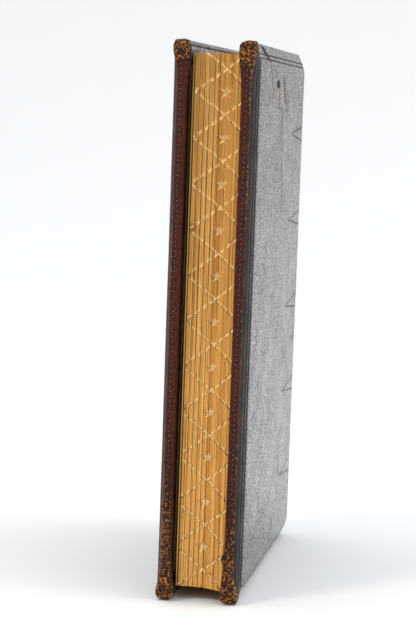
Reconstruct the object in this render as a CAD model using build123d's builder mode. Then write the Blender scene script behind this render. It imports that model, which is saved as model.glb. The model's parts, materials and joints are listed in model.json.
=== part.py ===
"""A small leather-bound prayer book, standing on its tail edge, as an assembly of its real pieces.

Frame: +Z runs from tail to head, -Y is the fore-edge, +Y the spine, -X the front board, +X the back board.
The origin is the middle of the book's footprint, on the surface that it stands on. Millimetres.
"""
import os
from math import asin, cos, degrees, radians, sin, sqrt

from build123d import *

# ---------------------------------------------------------------- covers
board_height = 180.0        # tail to head, leather included
cover_width = 114.0         # hinge line to fore-edge, leather included
core_thickness = 3.7        # millboard
leather_thickness = 0.7     # over the outer face and round the edges
turn_in_thickness = 0.5     # pared leather on the inner face
turn_in_width = 14.0
pastedown_thickness = 0.2
pastedown_margin = 8.0      # pastedown's edge to the cover's edge
corner_radius = 3.0         # outline corners at the fore-edge
bevel_rise = 2.2            # cushioned bevel of the outer face: across the thickness
bevel_width = 5.0           # and along the face
bevel_corner = 0.5          # corner radius where the bevel meets the flat face
outer_round = 0.9           # arris between the edge and the bevel
inner_round = 0.6           # arris of the inner face
joint_gap = 0.85            # hinge line to the board's spine edge
front_ajar = 1.35           # degrees that the front board stands open

# ---------------------------------------------------------------- text block
gatherings = 10
gathering_thickness = 1.37
gathering_gap = 0.06
head_square = 4.0           # cover's overhang past the leaves
tail_square = 4.5
fore_edge_square = 4.0
fold_radius = 0.28          # folded back of a gathering, nipped by the sewing
fold_neck = 1.2             # length of the nipped stretch
fold_taper = 4.2            # fold line to the full thickness
shoulder_setback = 1.1      # outermost fold, in front of the hinge line
back_round = 0.8            # rise of the rounded back over the text block's half thickness
flyleaf_thickness = 0.25
flyleaf_gap = 0.08          # between a flyleaf and its gathering
flyleaf_setback = 0.2       # flyleaf's fold, in front of the hinge line
board_gap = 0.1             # between a flyleaf and the closed board's pastedown
flyleaf_share = 0.48        # share of the cover's opening that the flyleaf next to it takes
leaf_shares = (0.34, 0.28, 0.21, 0.14, 0.07)   # the same for each gathering, from the outermost in

# ---------------------------------------------------------------- spine
spine_leather_thickness = 0.8
spine_rise = 3.0            # rounded spine, above the line between the two hinges
joint_strip = 7.0           # degrees of the spine's arc that flex as the joint
stiffener_thickness = 0.6
stiffener_inset = 3.0       # degrees that the stiffener stops short of the joint strip
tapes = 4
tape_thickness = 0.4
tape_width = 7.0
fold_clearance = 0.05
mull_thickness = 0.3
mull_end = 13.0             # mull stops this far inside the leaves, at head and tail
lining_thickness = 0.4
kettle_thread = 0.35        # diameter
kettle_end = 10.5           # kettle stitches, in from the ends of the leaves
headband_radius = 0.9
headband_skirt = 8.0
headband_skirt_thickness = 0.25
band_height = 1.0           # raised bands, proud of the spine leather
band_width = 4.2
band_core_width = 2.6
band_core_height = 0.5      # core, proud of the leather's outer face
band_round = 0.35

# ---------------------------------------------------------------- worked-out places
gathering_pitch = gathering_thickness + gathering_gap
board_thickness = leather_thickness + core_thickness + turn_in_thickness + pastedown_thickness
leaf_height = board_height - head_square - tail_square
leaf_top = tail_square + leaf_height
text_half = ((gatherings - 1) * gathering_pitch + gathering_thickness) / 2
flyleaf_x = text_half + flyleaf_gap + flyleaf_thickness / 2
inner_face_x = flyleaf_x + flyleaf_thickness / 2 + board_gap
outer_face_x = inner_face_x + board_thickness
hinge_x = outer_face_x - spine_leather_thickness / 2
hinge_to_outer = outer_face_x - hinge_x         # outward distances from the hinge line
hinge_to_inner = inner_face_x - hinge_x
leather_inner = hinge_to_inner + pastedown_thickness
core_inner = leather_inner + turn_in_thickness
core_outer = core_inner + core_thickness

# the bevel's inner edge on the ajar front board gives the lowest X, and the raised bands give the highest Y
bevel_reach = cover_width - bevel_width
front_reach = hinge_x + hinge_to_outer * cos(radians(front_ajar)) + bevel_reach * sin(radians(front_ajar))
shift_x = (front_reach - outer_face_x) / 2
spine_back = spine_rise + spine_leather_thickness / 2 + band_height
hinge_y = (cover_width - spine_back) / 2

spine_radius = (hinge_x**2 + spine_rise**2) / (2 * spine_rise)
spine_centre = (shift_x, hinge_y + spine_rise - spine_radius)
back_radius = (text_half**2 + back_round**2) / (2 * back_round)
back_centre = (shift_x, hinge_y - shoulder_setback + back_round - back_radius)
leaf_width = cover_width - fore_edge_square - shoulder_setback
fold_back_radius = back_radius + fold_radius + fold_clearance   # just behind the folded backs

os.makedirs("parts", exist_ok=True)


def save(piece, name):
    """Labels a finished piece and writes it."""
    piece.part.label = name
    export_step(piece.part, f"parts/{name}.step")


def cover_plane(side, open_degrees):
    """Plane of a cover at its hinge: local X runs to the spine, local Y to the head, and local Z to +X."""
    s, c = sin(radians(open_degrees)), cos(radians(open_degrees))
    return Plane(
        origin=(shift_x + side * hinge_x, hinge_y, 0),
        x_dir=(-side * s, c, 0),
        z_dir=(c, side * s, 0),
    )


def outline(plane, distance, inset, radius):
    """Sketch of the cover's outline, moved in at the three free edges, with rounded fore-edge corners."""
    width = cover_width - inset - joint_gap
    with BuildSketch(plane.offset(distance)) as shape:
        with Locations((-joint_gap - width / 2, board_height / 2)):
            Rectangle(width, board_height - 2 * inset)
        if radius > 0:
            fillet(shape.vertices().group_by(Axis.X)[0], radius)
    return shape.sketch


def sheet(plane, side, inner, outer, inset, radius):
    """Adds a flat cover-shaped layer between two distances from the hinge line."""
    extrude(outline(plane, side * inner, inset, radius), amount=side * (outer - inner))


def cushion(piece, plane, side, inner, outer, inset, radius):
    """Adds a cover-shaped layer whose outer face has the cushioned bevel and rounded arrises."""
    shoulder = outer - bevel_rise
    sheet(plane, side, inner, shoulder, inset, radius)
    low = outline(plane, side * shoulder, inset, radius)
    high = outline(plane, side * outer, inset + bevel_width, bevel_corner)
    loft(sections=[low, high], ruled=True)
    outward = Axis(plane.origin, plane.z_dir * side)
    level = [e for e in piece.edges() if abs((e @ 0.5 - plane.origin).dot(outward.direction) - shoulder) < 0.01]
    level = [e for e in level if abs((e @ 0 - plane.origin).dot(outward.direction) - shoulder) < 0.01]
    fillet(ShapeList(level).sort_by(Axis(plane.origin, plane.x_dir))[:-1], outer_round - inset / 2)
    under = piece.faces().sort_by(outward)[0]
    fillet(under.edges().sort_by(Axis(plane.origin, plane.x_dir))[:-1], inner_round - inset / 2)


def arc_band(centre, inner, outer, half_angle, bottom, height):
    """Adds a curved sheet about a vertical axis, symmetric about the book's middle plane."""
    with BuildSketch(Plane.XY.offset(bottom)) as band:
        with BuildLine():
            far = CenterArc(centre, outer, 90 - half_angle, 2 * half_angle)
            near = CenterArc(centre, inner, 90 - half_angle, 2 * half_angle)
            Line(far @ 0, near @ 0)
            Line(far @ 1, near @ 1)
        make_face()
    extrude(band.sketch, amount=height)


# ---------------------------------------------------------------- two covers
for side, name, ajar in ((-1, "front", front_ajar), (1, "back", 0.0)):
    plane = cover_plane(side, ajar)

    with BuildPart() as core:
        cushion(core, plane, side, core_inner, core_outer, leather_thickness, corner_radius - leather_thickness)
    save(core, f"{name}_board")

    with BuildPart() as infill:
        sheet(plane, side, leather_inner, core_inner, turn_in_width, 0)
    save(infill, f"{name}_infill")

    with BuildPart() as leather:
        cushion(leather, plane, side, leather_inner, hinge_to_outer, 0, corner_radius)
        add(core.part, mode=Mode.SUBTRACT)
        add(infill.part, mode=Mode.SUBTRACT)
    save(leather, f"{name}_cover_leather")

    with BuildPart() as pastedown:
        sheet(plane, side, hinge_to_inner, leather_inner, pastedown_margin, 0)
    save(pastedown, f"{name}_pastedown")

# ---------------------------------------------------------------- flyleaves
for side, name, ajar in ((-1, "front", flyleaf_share * front_ajar), (1, "back", 0.0)):
    s, c = sin(radians(ajar)), cos(radians(ajar))
    fold = Plane(
        origin=(shift_x + side * flyleaf_x, hinge_y - flyleaf_setback, tail_square),
        x_dir=(c, side * s, 0),
        z_dir=(0, 0, 1),
    )
    half = flyleaf_thickness / 2
    reach = cover_width - fore_edge_square - flyleaf_setback
    with BuildPart() as flyleaf:
        with BuildSketch(fold):
            with BuildLine():
                Polyline((half, 0), (half, -reach), (-half, -reach), (-half, 0))
                ThreePointArc((-half, 0), (0, half), (half, 0))
            make_face()
        extrude(amount=leaf_height)
    save(flyleaf, f"{name}_flyleaf")

# ---------------------------------------------------------------- gatherings
for index in range(gatherings):
    offset = (index - (gatherings - 1) / 2) * gathering_pitch
    side = 1 if offset > 0 else -1
    ajar = leaf_shares[index] * front_ajar if side < 0 else 0.0
    s, c = sin(radians(ajar)), cos(radians(ajar))
    fold = Plane(
        origin=(shift_x + offset, back_centre[1] + sqrt(back_radius**2 - offset**2), tail_square),
        x_dir=(c, side * s, 0),
        z_dir=(0, 0, 1),
    )
    half = gathering_thickness / 2
    with BuildPart() as gathering:
        with BuildSketch(fold):
            with BuildLine():
                Polyline(
                    (fold_radius, 0),
                    (fold_radius, -fold_neck),
                    (half, -fold_taper),
                    (half, -leaf_width),
                    (-half, -leaf_width),
                    (-half, -fold_taper),
                    (-fold_radius, -fold_neck),
                    (-fold_radius, 0),
                )
                ThreePointArc((-fold_radius, 0), (0, fold_radius), (fold_radius, 0))
            make_face()
        extrude(amount=leaf_height)
    save(gathering, f"gathering_{index + 1:02d}")

# ---------------------------------------------------------------- sewing and linings
back_half_angle = degrees(asin((text_half - gathering_thickness / 4) / back_radius))
tape_inner = fold_back_radius
mull_inner = tape_inner + tape_thickness
lining_inner = mull_inner + mull_thickness
mull_height = leaf_height - 2 * mull_end
tape_pitch = mull_height / tapes
tape_centres = [tail_square + mull_end + tape_pitch * (n + 0.5) for n in range(tapes)]

with BuildPart() as sewing_tapes:
    for z in tape_centres:
        arc_band(back_centre, tape_inner, mull_inner, back_half_angle, z - tape_width / 2, tape_width)
save(sewing_tapes, "sewing_tapes")

with BuildPart() as mull:
    arc_band(back_centre, mull_inner, lining_inner, back_half_angle, tail_square + mull_end, mull_height)
save(mull, "mull")

with BuildPart() as spine_lining:
    arc_band(back_centre, lining_inner, lining_inner + lining_thickness, back_half_angle, tail_square, leaf_height)
save(spine_lining, "spine_lining")

with BuildPart() as kettle_stitches:
    for z in (tail_square + kettle_end, leaf_top - kettle_end):
        start = Plane(
            origin=(*back_centre, z),
            x_dir=(sin(radians(back_half_angle)), cos(radians(back_half_angle)), 0),
            z_dir=(cos(radians(back_half_angle)), -sin(radians(back_half_angle)), 0),
        )
        with BuildSketch(start):
            with Locations((tape_inner + kettle_thread / 2, 0)):
                Circle(kettle_thread / 2)
        revolve(axis=Axis((*back_centre, z), (0, 0, 1)), revolution_arc=2 * back_half_angle)
save(kettle_stitches, "kettle_stitches")

for name, end, sign in (("head", leaf_top, 1), ("tail", tail_square, -1)):
    bead_z = end + sign * (headband_radius + fold_clearance)
    start = Plane(
        origin=(*back_centre, bead_z),
        x_dir=(sin(radians(back_half_angle)), cos(radians(back_half_angle)), 0),
        z_dir=(cos(radians(back_half_angle)), -sin(radians(back_half_angle)), 0),
    )
    skirt_inner = tape_inner
    skirt_outer = tape_inner + headband_skirt_thickness
    with BuildPart() as headband:
        with BuildSketch(start):
            with Locations((skirt_outer - headband_radius, 0)):
                Circle(headband_radius)
        revolve(axis=Axis((*back_centre, bead_z), (0, 0, 1)), revolution_arc=2 * back_half_angle)
        bottom = min(end - sign * headband_skirt, bead_z)
        arc_band(back_centre, skirt_inner, skirt_outer, back_half_angle, bottom, abs(bead_z - end) + headband_skirt)
    save(headband, f"{name}_band")

# ---------------------------------------------------------------- spine cover
leather_out = spine_radius + spine_leather_thickness / 2
leather_in = spine_radius - spine_leather_thickness / 2
hinge_angle = degrees(asin(hinge_x / spine_radius))
panel_angle = hinge_angle - joint_strip
stiffener_angle = panel_angle - stiffener_inset
band_span = panel_angle - stiffener_inset

with BuildPart() as raised_bands:
    for z in tape_centres:
        arc_band(
            spine_centre, leather_in, leather_out + band_core_height, band_span - stiffener_inset,
            z - band_core_width / 2, band_core_width,
        )
save(raised_bands, "raised_bands")

with BuildPart() as spine_leather:
    for z in tape_centres:
        arc_band(spine_centre, leather_out - band_round, leather_out + band_height, band_span, z - band_width / 2, band_width)
    fillet(spine_leather.edges(), band_round)
    arc_band(spine_centre, leather_in, leather_out, panel_angle, 0, board_height)
    add(raised_bands.part, mode=Mode.SUBTRACT)
save(spine_leather, "spine_leather")

with BuildPart() as spine_stiffener:
    arc_band(spine_centre, leather_in - stiffener_thickness, leather_in, stiffener_angle, tail_square, leaf_height)
save(spine_stiffener, "spine_stiffener")

for side, name in ((-1, "front"), (1, "back")):
    hinge = Vector(shift_x + side * hinge_x, hinge_y)
    tip = Vector(side * cos(radians(hinge_angle)), -sin(radians(hinge_angle))) * spine_leather_thickness / 2
    start_angle = 90 - hinge_angle if side > 0 else 90 + hinge_angle
    with BuildPart() as joint_leather:
        with BuildSketch():
            with BuildLine():
                far = CenterArc(spine_centre, leather_out, start_angle, side * joint_strip)
                near = CenterArc(spine_centre, leather_in, start_angle, side * joint_strip)
                Line(far @ 1, near @ 1)
                ThreePointArc(far @ 0, hinge + tip, near @ 0)
            make_face()
        extrude(amount=board_height)
    save(joint_leather, f"{name}_joint_leather")
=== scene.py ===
"""A small leather-bound prayer book that stands on its tail edge, with gilt and gauffered leaves.

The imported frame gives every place. Lengths are in millimetres until MM turns them to metres.
"""
import json
from math import asin, atan2, cos, degrees, pi, radians, sin, sqrt

import bmesh
import bpy
import numpy as np
from mathutils import Matrix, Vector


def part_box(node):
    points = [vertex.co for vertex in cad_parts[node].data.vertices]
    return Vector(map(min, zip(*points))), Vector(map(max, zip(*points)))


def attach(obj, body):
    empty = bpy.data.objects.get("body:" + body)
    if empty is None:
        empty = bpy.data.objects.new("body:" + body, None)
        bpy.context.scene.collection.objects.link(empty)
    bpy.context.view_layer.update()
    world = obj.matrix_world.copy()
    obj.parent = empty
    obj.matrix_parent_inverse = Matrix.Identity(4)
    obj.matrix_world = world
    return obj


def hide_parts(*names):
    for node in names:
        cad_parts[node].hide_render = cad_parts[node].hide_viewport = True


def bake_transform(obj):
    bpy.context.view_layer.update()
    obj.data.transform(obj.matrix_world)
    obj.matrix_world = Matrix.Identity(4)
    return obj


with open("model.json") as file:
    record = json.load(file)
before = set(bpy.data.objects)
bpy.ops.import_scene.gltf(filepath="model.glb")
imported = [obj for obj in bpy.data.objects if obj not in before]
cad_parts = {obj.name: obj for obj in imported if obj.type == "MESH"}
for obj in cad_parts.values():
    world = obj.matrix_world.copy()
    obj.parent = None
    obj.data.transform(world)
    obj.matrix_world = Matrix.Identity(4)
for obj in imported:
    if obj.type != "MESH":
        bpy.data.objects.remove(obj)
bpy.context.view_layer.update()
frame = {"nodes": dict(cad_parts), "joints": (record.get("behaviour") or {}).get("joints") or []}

# ---------------------------------------------------------------- ten gatherings of leaves
# Folded sheets of rag paper, trimmed and gilt at three edges. A heated tool has pressed dashed lozenges, each
# with a star, through the gold of the fore-edge, and the edges of the leaves show as fine upright lines.
MM = 0.001
hinge = {j["child"]: np.array(j["pos_m"]) / MM for j in frame["joints"]}
half = 0.71                 # half a gathering's thickness
pitch = 1.43                # gathering to gathering
fold_radius, fold_neck, fold_taper = 0.28, 1.2, 4.2
front_ajar = 1.35           # degrees that the front board stands open
leaf_shares = (0.34, 0.28, 0.21, 0.14, 0.07)
leaf_tail, leaf_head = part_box("gathering_06")[0][2] / MM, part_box("gathering_06")[1][2] / MM
leaf_width = hinge["gathering_06"][1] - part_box("gathering_06")[0][1] / MM
lozenge_width, lozenge_height = 17.3, 14.6
first_star = 17.9           # height of the lowest star
leaf_random = np.random.default_rng(7)
leaf_steps = leaf_random.normal(0, 1, 200)


def linear(code, alpha=1.0):
    """An sRGB hex colour as linear values."""
    part = [int(code[i:i + 2], 16) / 255 for i in (1, 3, 5)]
    return [c / 12.92 if c <= 0.04045 else ((c + 0.055) / 1.055) ** 2.4 for c in part] + [alpha]


def node(tree, kind, plugs=None, **settings):
    """Adds a node with its settings, and sets or links its inputs. Gives its outputs. Shading needs no prefix."""
    prefix = "" if kind.startswith(("Geometry", "Function", "NodeGroup")) else "ShaderNode"
    new = tree.nodes.new(prefix + kind)
    for key, value in settings.items():
        setattr(new, key, value)
    for key, value in (plugs or {}).items():
        if isinstance(value, bpy.types.NodeSocket):
            tree.links.new(value, new.inputs[key])
        else:
            new.inputs[key].default_value = value
    return new.outputs


def finish_named(name, **sockets):
    """An empty material with its shader: gives the material, its tree and the shader."""
    material = bpy.data.materials.new(name)
    material.use_nodes = True
    tree = material.node_tree
    tree.nodes.clear()
    shader = tree.nodes.new("ShaderNodeBsdfPrincipled")
    output = tree.nodes.new("ShaderNodeOutputMaterial")
    tree.links.new(shader.outputs[0], output.inputs[0])
    for key, value in sockets.items():
        shader.inputs[key.replace("_", " ")].default_value = value
    return material, tree, shader


def surface(tree, shader, colour, relief, depth, strength=1.0):
    """Gives a shader its colour, and a relief with its depth in millimetres."""
    lit = node(tree, "Bump", {"Strength": strength, "Distance": depth * MM, "Height": relief})[0]
    tree.links.new(colour, shader.inputs["Base Color"])
    tree.links.new(lit, shader.inputs["Normal"])


def apart(tree, value, middle):
    """How far a value lies from a middle one."""
    gap = node(tree, "Math", {0: value, 1: middle}, operation="SUBTRACT")[0]
    return node(tree, "Math", {0: gap}, operation="ABSOLUTE")[0]


def depth_within(tree, *sides):
    """How far a place lies inside a rectangle: each side is a coordinate, its middle and half its size (mm)."""
    gaps = [node(tree, "Math", {0: reach * MM, 1: apart(tree, at, middle * MM)}, operation="SUBTRACT")[0]
            for at, middle, reach in sides]
    return node(tree, "Math", {0: gaps[0], 1: gaps[1]}, operation="MINIMUM")[0]


def plain_mesh(name, points, faces, finishes, marks=None, face_finish=None, crease=50):
    """An object from points in millimetres, with outward faces, float marks on its points and its finishes."""
    mesh = bpy.data.meshes.new(name)
    mesh.from_pydata(np.asarray(points) * MM, [], faces)
    for key, values in (marks or {}).items():
        mesh.attributes.new(key, "FLOAT", "POINT").data.foreach_set("value", np.asarray(values, np.float32))
    for material in finishes:
        mesh.materials.append(material)
    if face_finish is not None:
        mesh.polygons.foreach_set("material_index", np.asarray(face_finish, np.int32))
    work = bmesh.new()
    work.from_mesh(mesh)
    bmesh.ops.recalc_face_normals(work, faces=work.faces)
    work.to_mesh(mesh)
    work.free()
    mesh.polygons.foreach_set("use_smooth", [True] * len(mesh.polygons))
    mesh.set_sharp_from_angle(angle=radians(crease))
    piece = bpy.data.objects.new(name, mesh)
    bpy.context.scene.collection.objects.link(piece)
    return piece


def smooth(x, low, high):
    """Smooth step from 0 at low to 1 at high."""
    t = np.clip((x - low) / (high - low), 0, 1)
    return t * t * (3 - 2 * t)


def opened(points, pivot, angle, side):
    """Points turned about an upright fold by an opening angle, away from the middle of the book."""
    a = radians(angle) * side
    out = np.array(points, float)
    x, y = out[:, 0] - pivot[0], out[:, 1] - pivot[1]
    out[:, 0] = pivot[0] + x * cos(a) - y * sin(a)
    out[:, 1] = pivot[1] + x * sin(a) + y * cos(a)
    return out


def gauffer(x, z):
    """Depth of the tool marks at a place on the closed fore-edge, and how much they burnish the gold and carry a
    painted highlight.
    """
    x = x - (-0.1 + 1.95 * (z - first_star) / 146.0)
    row = (z - first_star) / lozenge_height
    near = (row - np.round(row)) * lozenge_height / 0.87
    angle = np.arctan2(x, near)
    fold = np.abs((angle + pi / 5) % (2 * pi / 5) - pi / 5)
    reach = np.hypot(x, near)
    px, py = reach * np.sin(fold), reach * np.cos(fold)
    tip, notch = 2.55, 1.15
    ax, ay, bx, by = 0.0, tip, notch * sin(pi / 5), notch * cos(pi / 5)
    length = sqrt((bx - ax) ** 2 + (by - ay) ** 2)
    outside = ((px - ax) * (ay - by) + (py - ay) * (bx - ax)) / length
    star = 0.5 * (1 - smooth(outside, -0.3, 0.12)) * (reach < 3.4)
    dashes = np.zeros_like(x)
    slope = sqrt(1 / lozenge_width ** 2 + 1 / lozenge_height ** 2)
    for sign in (1, -1):
        across = x / lozenge_width + sign * row - 0.5
        across = np.abs(across - np.round(across)) / slope
        along = (x * lozenge_width - sign * row * lozenge_height * lozenge_height) / sqrt(
            lozenge_width ** 2 + lozenge_height ** 2)
        dash = np.abs(along / 2.515 - np.round(along / 2.515)) * 2.515
        pill = np.hypot(np.maximum(dash - 0.6, 0), across)
        dashes = np.maximum(dashes, 1 - smooth(pill, 0.12, 0.5))
    return np.maximum(star, 0.44 * dashes), np.maximum(dashes, 0.9 * star)


# burnished gold leaf over the cut edges of paper: warm, softly mirror-like, brown where it is rubbed through
gilt, tree, shader = finish_named("burnished_gold_leaf_on_cut_leaves", Metallic=0.82)
place = node(tree, "TexCoord")[3]
split = node(tree, "SeparateXYZ", {0: place})
leaf = node(tree, "Attribute", attribute_name="leaf")[2]
mark = node(tree, "Attribute", attribute_name="mark")[2]
sway = node(tree, "TexNoise", {"Vector": place, "Scale": 28.0, "Detail": 1.0})[0]
swayed = node(tree, "Math", {0: sway, 1: 0.0001, 2: leaf}, operation="MULTIPLY_ADD")[0]
slow = node(tree, "Math", {0: split[2], 1: 0.004}, operation="MULTIPLY")[0]
upright = node(tree, "CombineXYZ", {0: swayed, 1: slow, 2: 0.0})[0]
# leaves are 0.09 mm thick: the lines are drawn about 0.35 mm apart so that they show
fine = node(tree, "TexNoise", {"Vector": upright, "Scale": 3100.0, "Detail": 2.0, "Roughness": 0.75})[0]
broad = node(tree, "TexNoise", {"Vector": upright, "Scale": 640.0, "Detail": 2.0})[0]
lines = node(tree, "MapRange", {0: fine, 1: 0.38, 2: 0.47, 3: 0.0, 4: 1.0})[0]
bands = node(tree, "MapRange", {0: broad, 1: 0.34, 2: 0.62, 3: 0.0, 4: 1.0})[0]
gold = node(tree, "Mix", {0: bands, 6: linear("#c8863a"), 7: linear("#eab05e")}, data_type="RGBA")[2]
gold = node(tree, "Mix", {0: lines, 6: linear("#854c1e"), 7: gold}, data_type="RGBA")[2]
blotch = node(tree, "TexNoise", {"Vector": place, "Scale": 170.0, "Detail": 5.0, "Roughness": 0.7})[0]
rub = node(tree, "Attribute", attribute_name="rub")[2]
rubbed = node(tree, "Math", {0: blotch, 1: rub}, operation="ADD")[0]
rubbed = node(tree, "MapRange", {0: rubbed, 1: 0.74, 2: 0.86, 3: 0.0, 4: 0.85})[0]
gold = node(tree, "Mix", {0: rubbed, 6: gold, 7: linear("#7a4a24")}, data_type="RGBA")[2]
# the tool marks are painted bright cream: partly burnished gold, partly a painted highlight for the glints in the
# dents
worked_and_glint = node(tree, "Math", {0: mark, 1: 0.8}, operation="MULTIPLY")[0]
gold = node(tree, "Mix", {0: worked_and_glint, 6: gold, 7: linear("#ffe2a4")}, data_type="RGBA")[2]
rough = node(tree, "MapRange", {0: blotch, 1: 0.3, 2: 0.75, 3: 0.3, 4: 0.48})[0]
rough = node(tree, "Mix", {0: worked_and_glint, 2: rough, 3: 0.26})[0]
tree.links.new(rough, shader.inputs["Roughness"])
relief = node(tree, "Math", {0: lines, 1: broad}, operation="ADD")[0]
surface(tree, shader, gold, relief, 0.04, 0.4)

# toned rag paper, printed with rows of small type inside a ruled border: matt, with foxing towards the edges
page, tree, shader = finish_named("toned_rag_paper_printed", Roughness=0.82)
place = node(tree, "TexCoord")[3]
split = node(tree, "SeparateXYZ", {0: place})
from_fold = node(tree, "Math", {0: hinge["gathering_06"][1] * MM, 1: split[1]}, operation="SUBTRACT")[0]
fibre = node(tree, "TexNoise", {"Vector": place, "Scale": 900.0, "Detail": 6.0, "Roughness": 0.7})[0]
tone = node(tree, "TexNoise", {"Vector": place, "Scale": 22.0, "Detail": 4.0})[0]
tone = node(tree, "MapRange", {0: tone, 1: 0.35, 2: 0.7, 3: 0.0, 4: 1.0})[0]
paper = node(tree, "Mix", {0: tone, 6: linear("#dccda6"), 7: linear("#cdb98c")}, data_type="RGBA")[2]
spots = node(tree, "TexNoise", {"Vector": place, "Scale": 210.0, "Detail": 3.0})[0]
spots = node(tree, "MapRange", {0: spots, 1: 0.68, 2: 0.76, 3: 0.0, 4: 0.7})[0]
paper = node(tree, "Mix", {0: spots, 6: paper, 7: linear("#9c7646")}, data_type="RGBA")[2]
# two red rules stand round a block of type, 72 by 132 mm, with rows 3.9 mm apart
depth_in = depth_within(tree, (from_fold, 57.0, 36.0), (split[2], 90.0, 66.0))
for ring, width in ((0.0, 0.22), (-1.3, 0.12)):
    off = apart(tree, depth_in, ring * MM)
    rule = node(tree, "MapRange", {0: off, 1: width * MM, 2: (width + 0.12) * MM, 3: 0.85, 4: 0.0})[0]
    paper = node(tree, "Mix", {0: rule, 6: paper, 7: linear("#8c2f22")}, data_type="RGBA")[2]
row_at = node(tree, "Math", {0: split[2], 1: 3.9 * MM}, operation="DIVIDE")[0]
row_no = node(tree, "Math", {0: row_at}, operation="FLOOR")[0]
row_in = node(tree, "Math", {0: row_at}, operation="FRACT")[0]
row_ink = node(tree, "MapRange", {0: apart(tree, row_in, 0.5), 1: 0.2, 2: 0.27, 3: 1.0, 4: 0.0})[0]
word_at = node(tree, "CombineXYZ", {0: from_fold, 1: row_no, 2: 0.0})[0]
words = node(tree, "TexNoise", {"Vector": word_at, "Scale": 300.0, "Detail": 0.0})[0]
words = node(tree, "MapRange", {0: words, 1: 0.36, 2: 0.42, 3: 0.0, 4: 1.0})[0]
strokes = node(tree, "TexNoise", {"Vector": place, "Scale": 1900.0, "Detail": 1.0})[0]
strokes = node(tree, "MapRange", {0: strokes, 1: 0.42, 2: 0.56, 3: 0.15, 4: 1.0})[0]
block = node(tree, "MapRange", {0: depth_in, 1: 3.2 * MM, 2: 3.6 * MM, 3: 0.0, 4: 0.72})[0]
ink = row_ink
for thinned in (words, strokes, block):
    ink = node(tree, "Math", {0: ink, 1: thinned}, operation="MULTIPLY")[0]
paper = node(tree, "Mix", {0: ink, 6: paper, 7: linear("#2c2620")}, data_type="RGBA")[2]
surface(tree, shader, paper, fibre, 0.04, 0.25)

edge_columns = np.linspace(half, -half, 13)
rows = np.linspace(leaf_tail, leaf_head, 780)
for index in range(10):
    name = f"gathering_{index + 1:02d}"
    pivot = hinge[name]
    side = -1 if index < 5 else 1
    # the section runs once round the gathering: fore-edge, one page, the fold, the other page
    back_left = [(-half, -leaf_width + 1.0), (-half, -leaf_width + 6), (-half, -70), (-half, -35),
                 (-half, -fold_taper), (-fold_radius, -fold_neck), (-fold_radius, 0),
                 (-fold_radius * 0.7, fold_radius * 0.7), (0, fold_radius)]
    back_right = [(-x, y) for x, y in reversed(back_left[:-1])]
    section = np.array([(x, -leaf_width) for x in edge_columns] + back_left + back_right)
    count = len(section)
    local = np.repeat(section[None, :, :], len(rows), axis=0)
    height = np.repeat(rows[:, None], count, axis=1)
    closed_x = local[:, :, 0] + (index - 4.5) * pitch
    # the pile has sagged a little at the tail of the fore-edge, on the side of the back board
    sag = 1.0 * (index / 9) ** 2 * (-local[:, :, 1] / leaf_width) ** 2 * (1 - smooth(height, 4.5, 60))
    depth, burnish_and_glint = gauffer(closed_x, height)
    level = np.interp(closed_x, np.linspace(-8, 8, 200), leaf_steps) * 0.009
    level += 0.03 * leaf_steps[index] * (0.6 + 0.4 * np.sin(height * 0.045 + index))
    level += 0.015 * smooth(np.abs(local[:, :, 0]), half - 0.1, half)
    is_edge = (np.arange(count) < 13)[None, :]
    local[:, :, 1] += np.where(is_edge, depth + level, 0)
    points = np.stack([pivot[0] + local[:, :, 0], pivot[1] + local[:, :, 1], height - sag], axis=2).reshape(-1, 3)
    if side < 0:
        points = opened(points, pivot, leaf_shares[index] * front_ajar, side)
    faces, kinds = [], []
    for r in range(len(rows) - 1):
        for k in range(count):
            n = (k + 1) % count
            faces.append((r * count + k, r * count + n, (r + 1) * count + n, (r + 1) * count + k))
            kinds.append(0 if k < 12 else 1)
    faces += [tuple(range(count))[::-1], tuple((len(rows) - 1) * count + k for k in range(count))]
    kinds += [0, 0]
    worn = 0.16 * smooth(-closed_x, 4.6, 7.0) + 0.12 * smooth(-height, -45, -8) + 0.1 * smooth(closed_x, 5.9, 7.2)
    marks = {"leaf": closed_x.ravel() * MM, "mark": (burnish_and_glint * is_edge).ravel(),
             "rub": np.where(is_edge, worn, 0.0).ravel()}
    leaves = plain_mesh(f"leaves_{index + 1:02d}", points, faces, (gilt, page), marks, kinds, crease=60)
    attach(leaves, name)
    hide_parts(name)

# ---------------------------------------------------------------- sewing tapes and kettle stitches
# Four flat linen tapes cross the folds, and the sewing thread passes round them. Waxed linen thread links the
# gatherings at head and tail.
def dress(material, *names):
    """Gives a material to the CAD pieces that are shown as they are."""
    for name in names:
        frame["nodes"][name].data.materials.clear()
        frame["nodes"][name].data.materials.append(material)


# plain-woven linen, unbleached and matt
linen, tree, shader = finish_named("woven_linen_tape", Roughness=0.85, Sheen_Weight=0.2)
place = node(tree, "TexCoord")[3]
# threads 0.45 mm apart
warp = node(tree, "TexWave", {"Vector": place, "Scale": 350.0, "Distortion": 1.2}, bands_direction="Z")[1]
weft = node(tree, "TexWave", {"Vector": place, "Scale": 350.0, "Distortion": 1.2}, bands_direction="X")[1]
weave = node(tree, "Math", {0: warp, 1: weft}, operation="MULTIPLY")[0]
cloth = node(tree, "Mix", {0: weave, 6: linear("#a8987a"), 7: linear("#d8ccb0")}, data_type="RGBA")[2]
surface(tree, shader, cloth, weave, 0.1)
dress(linen, "sewing_tapes", "kettle_stitches")

# ---------------------------------------------------------------- mull and spine lining
# Open cotton mull is glued over the folds, and brown paper over the mull makes the back smooth.
# open cotton gauze stiffened with starch: pale threads with brown glue in the gaps
mull_cloth, tree, shader = finish_named("starched_cotton_mull", Roughness=0.9)
place = node(tree, "TexCoord")[3]
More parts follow.
